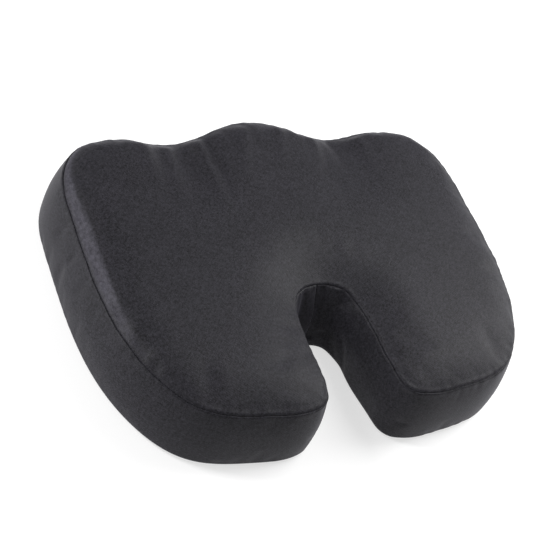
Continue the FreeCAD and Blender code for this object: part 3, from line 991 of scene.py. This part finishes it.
def base_cloth():
    """Matt black cloth in a plain weave."""
    m = Shader("base_cloth", Roughness=0.85, Sheen_Weight=0.08, Specular_IOR_Level=0.25)
    weave = m.math("MULTIPLY", m.stripes((1, 0, 0.5), WEAVE), m.stripes((0, 1, 0.5), WEAVE))
    yarn = m.noise(WEAVE_YARN, detail=3.0)
    shade = m.math("ADD", m.range(weave, 0, 1, *WEAVE_SHADES), m.vary(yarn, *YARN_SHADES))
    m.shade(BASE_BLACK, shade)
    m.bump(weave, WEAVE_BUMP)
    return m.material


def rubber():
    """Satin black rubber with a finely pitted skin."""
    m = Shader("grip_rubber", Specular_IOR_Level=0.45)
    pits = m.noise(RUBBER_PIT, detail=3.0)
    m.shade(RUBBER_BLACK, m.vary(m.noise(RUBBER_PATCH), *RUBBER_SHADES))
    m.put(m.surface, "Roughness", m.vary(pits, *RUBBER_ROUGHNESS))
    m.bump(pits, RUBBER_BUMP, strength=0.7)
    return m.material


def foam_pores():
    """Cream open-cell foam."""
    m = Shader("memory_foam", Roughness=0.95, Subsurface_Weight=0.15, Specular_IOR_Level=0.2)
    m.put(m.surface, "Subsurface Scale", FOAM_GLOW_DEPTH)
    cells = m.add("TexVoronoi", {"Vector": m.place, "Scale": FOAM_CELLS})
    pores = m.range(cells, *PORE_SPAN, 0, 1)
    patches = m.vary(m.noise(FOAM_PATCH), *FOAM_SHADES)
    shade = m.math("ADD", m.range(pores, 0, 1, *PORE_SHADES), patches)
    m.shade(FOAM_CREAM, shade)
    m.bump(pores, FOAM_BUMP)
    return m.material


def tape():
    """Black zipper tape in a herringbone weave."""
    m = Shader("zipper_tape", Roughness=0.8, Sheen_Weight=0.1, Specular_IOR_Level=0.3)
    x, _, z = (m.add("SeparateXYZ", {0: m.place}, output=k) for k in range(3))
    zigzag = m.math("ADD", x, m.math("PINGPONG", z, HERRINGBONE))
    ribs = m.range(m.math("SINE", m.math("MULTIPLY", zigzag, 2 * math.pi / TAPE_RIB)), -1, 1, 0, 1)
    yarn = m.noise(TAPE_YARN, detail=3.0)
    shade = m.math("ADD", m.range(ribs, 0, 1, *TAPE_SHADES), m.vary(yarn, *YARN_SHADES))
    m.shade(TAPE_BLACK, shade)
    m.bump(ribs, TAPE_BUMP)
    return m.material


def filament():
    """Satin black nylon."""
    m = Shader("zipper_coil", Specular_IOR_Level=0.5)
    colour, gloss, bumps = NYLON_GRAIN
    m.shade(NYLON_BLACK, m.vary(m.noise(colour, detail=2.0), *NYLON_SHADES))
    m.put(m.surface, "Roughness", m.vary(m.noise(gloss, detail=3.0), *NYLON_ROUGHNESS))
    m.bump(m.noise(bumps, detail=2.0, stretch=(1, 1, 0.3)), NYLON_BUMP, strength=0.5)
    return m.material


def thread():
    """Charcoal polyester thread with a visible twist."""
    m = Shader("sewing_thread", Roughness=0.6, Sheen_Weight=0.15, Specular_IOR_Level=0.35)
    twist = m.stripes((1, 0, 1), THREAD_TWIST)
    m.shade(THREAD_GREY, m.range(twist, 0, 1, *TWIST_SHADES))
    m.bump(twist, THREAD_BUMP)
    return m.material


def enamel():
    """Semi-gloss black enamel, worn through to zinc in small chips."""
    m = Shader("slider_enamel", Coat_Weight=0.3, Coat_Roughness=0.2, Specular_IOR_Level=0.5)
    chip, gloss, bumps = ENAMEL_GRAIN
    chips = m.range(m.noise(chip, detail=5.0), *CHIP_EDGE, 0, 1)
    m.put(m.surface, "Base Color", m.mixed(chips, ENAMEL_BLACK, ZINC))
    m.put(m.surface, "Metallic", chips)
    m.put(m.surface, "Roughness", m.vary(m.noise(gloss, detail=3.0), *ENAMEL_ROUGHNESS))
    m.bump(m.noise(bumps, detail=4.0), ENAMEL_BUMP, strength=0.6)
    return m.material


def steel():
    """Dull steel, brushed along its length."""
    m = Shader("stop_steel", Metallic=1.0)
    brush = m.noise(STEEL_BRUSH, detail=3.0, stretch=(0.2, 1, 1))
    m.shade(STEEL_GREY, m.vary(brush, *STEEL_SHADES))
    m.put(m.surface, "Roughness", m.vary(brush, *STEEL_ROUGHNESS))
    m.bump(brush, STEEL_BUMP, strength=0.6)
    return m.material


def paper():
    """Plain white floor, which glows a little so that it stays white."""
    m = Shader("floor_white", Roughness=0.9, Emission_Color=(1, 1, 1, 1), Emission_Strength=FLOOR_GLOW)
    m.shade(FLOOR_GREY, m.vary(m.noise(FLOOR_PATCH), *FLOOR_SHADES))
    return m.material


# ---------------------------------------------------------------- pieces
def piece(obj, look, nodes):
    """Gives an object its material, ties it to the cushion's body and hides the CAD nodes that it stands for.
    """
    obj.data.materials.clear()
    obj.data.materials.append(look)
    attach(obj, "cushion")
    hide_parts(*nodes)


def dress_node(node, look, bevel=0.0):
    """Gives a CAD node its material, and rounds its edges where it is hard."""
    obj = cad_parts[node]
    obj.data.materials.clear()
    obj.data.materials.append(look)
    if bevel:
        rounding = obj.modifiers.new("edges", "BEVEL")
        rounding.width = bevel
        rounding.segments = HARD_EDGE_STEPS
        rounding.limit_method = "ANGLE"
        rounding.angle_limit = HARD_EDGE_ANGLE


def camera():
    """Camera at the object's rear left, above it, rolled to the left."""
    cam = bpy.data.objects.new("camera", bpy.data.cameras.new("camera"))
    bpy.context.scene.collection.objects.link(cam)
    az, el = math.radians(CAMERA_AZIMUTH), math.radians(CAMERA_ELEVATION)
    back = Vector((math.sin(az) * math.cos(el), -math.cos(az) * math.cos(el), math.sin(el)))
    cam.location = Vector(CAMERA_TARGET) + back * CAMERA_DISTANCE
    turn = back.to_track_quat("Z", "Y").to_matrix() @ Matrix.Rotation(math.radians(CAMERA_ROLL), 3, "Z")
    cam.rotation_euler = turn.to_euler()
    cam.data.lens = CAMERA_LENS
    bpy.context.scene.camera = cam


def area_light(name, place, size, power):
    """Square area light that points at the cushion."""
    lamp = bpy.data.objects.new(name, bpy.data.lights.new(name, "AREA"))
    lamp.data.size = size
    lamp.data.energy = power
    lamp.location = place
    lamp.rotation_euler = Vector(place).to_track_quat("Z", "Y").to_euler()
    bpy.context.scene.collection.objects.link(lamp)


VELOUR_LOOK = velour()
BASE_LOOK = base_cloth()
COIL_LOOK = filament()
THREAD_LOOK = thread()

cover = build_cover()
foam = foam_from(cover)
piece(foam, foam_pores(), ["foam_core"])
cover.modifiers.new("round", "SUBSURF").levels = 1
apply_modifiers(cover)
dress(cover)
for index, node in enumerate(PANELS[:-1]):
    sheet = panel_object(cover, index, node + "_cloth", FABRIC)
    slot, look = ("base_cloth", BASE_LOOK) if index == BASE else ("cover_velour", VELOUR_LOOK)
    piece(sheet, look, [node])
bpy.data.objects.remove(cover)

piece(new_object("grip_dots_domed", *grip_dots()), rubber(), ["grip_dots"])
for node, side in (("zipper_coil_upper", 1), ("zipper_coil_lower", -1)):
    piece(new_object(node + "_filament", *coil(node, side)), COIL_LOOK, [node])
piece(new_object("zipper_topstitching", *stitching()), THREAD_LOOK, [])

TAPE_LOOK = tape()
ENAMEL_LOOK = enamel()
STEEL_LOOK = steel()
for node in ("zipper_tape_upper", "zipper_tape_lower"):
    dress_node(node, TAPE_LOOK)
for node in ("zipper_slider", "zipper_pull_tab"):
    dress_node(node, ENAMEL_LOOK, HARD_EDGE)
for node in ("zipper_top_stops", "zipper_bottom_stop"):
    dress_node(node, STEEL_LOOK, HARD_EDGE)

# ---------------------------------------------------------------- stage
camera()
corners = [(x * FLOOR_HALF, y * FLOOR_HALF, FLOOR_Z) for x, y in ((-1, -1), (1, -1), (1, 1), (-1, 1))]
floor = new_object("floor", corners, [(0, 1, 2, 3)])
floor.data.materials.append(paper())
world = bpy.data.worlds.new("studio")
world.use_nodes = True
world.node_tree.nodes["Background"].inputs["Color"].default_value = (1, 1, 1, 1)
world.node_tree.nodes["Background"].inputs["Strength"].default_value = WORLD_STRENGTH
bpy.context.scene.world = world
bpy.context.scene.view_settings.view_transform = "Standard"
for light in LIGHTS:
    area_light(*light)
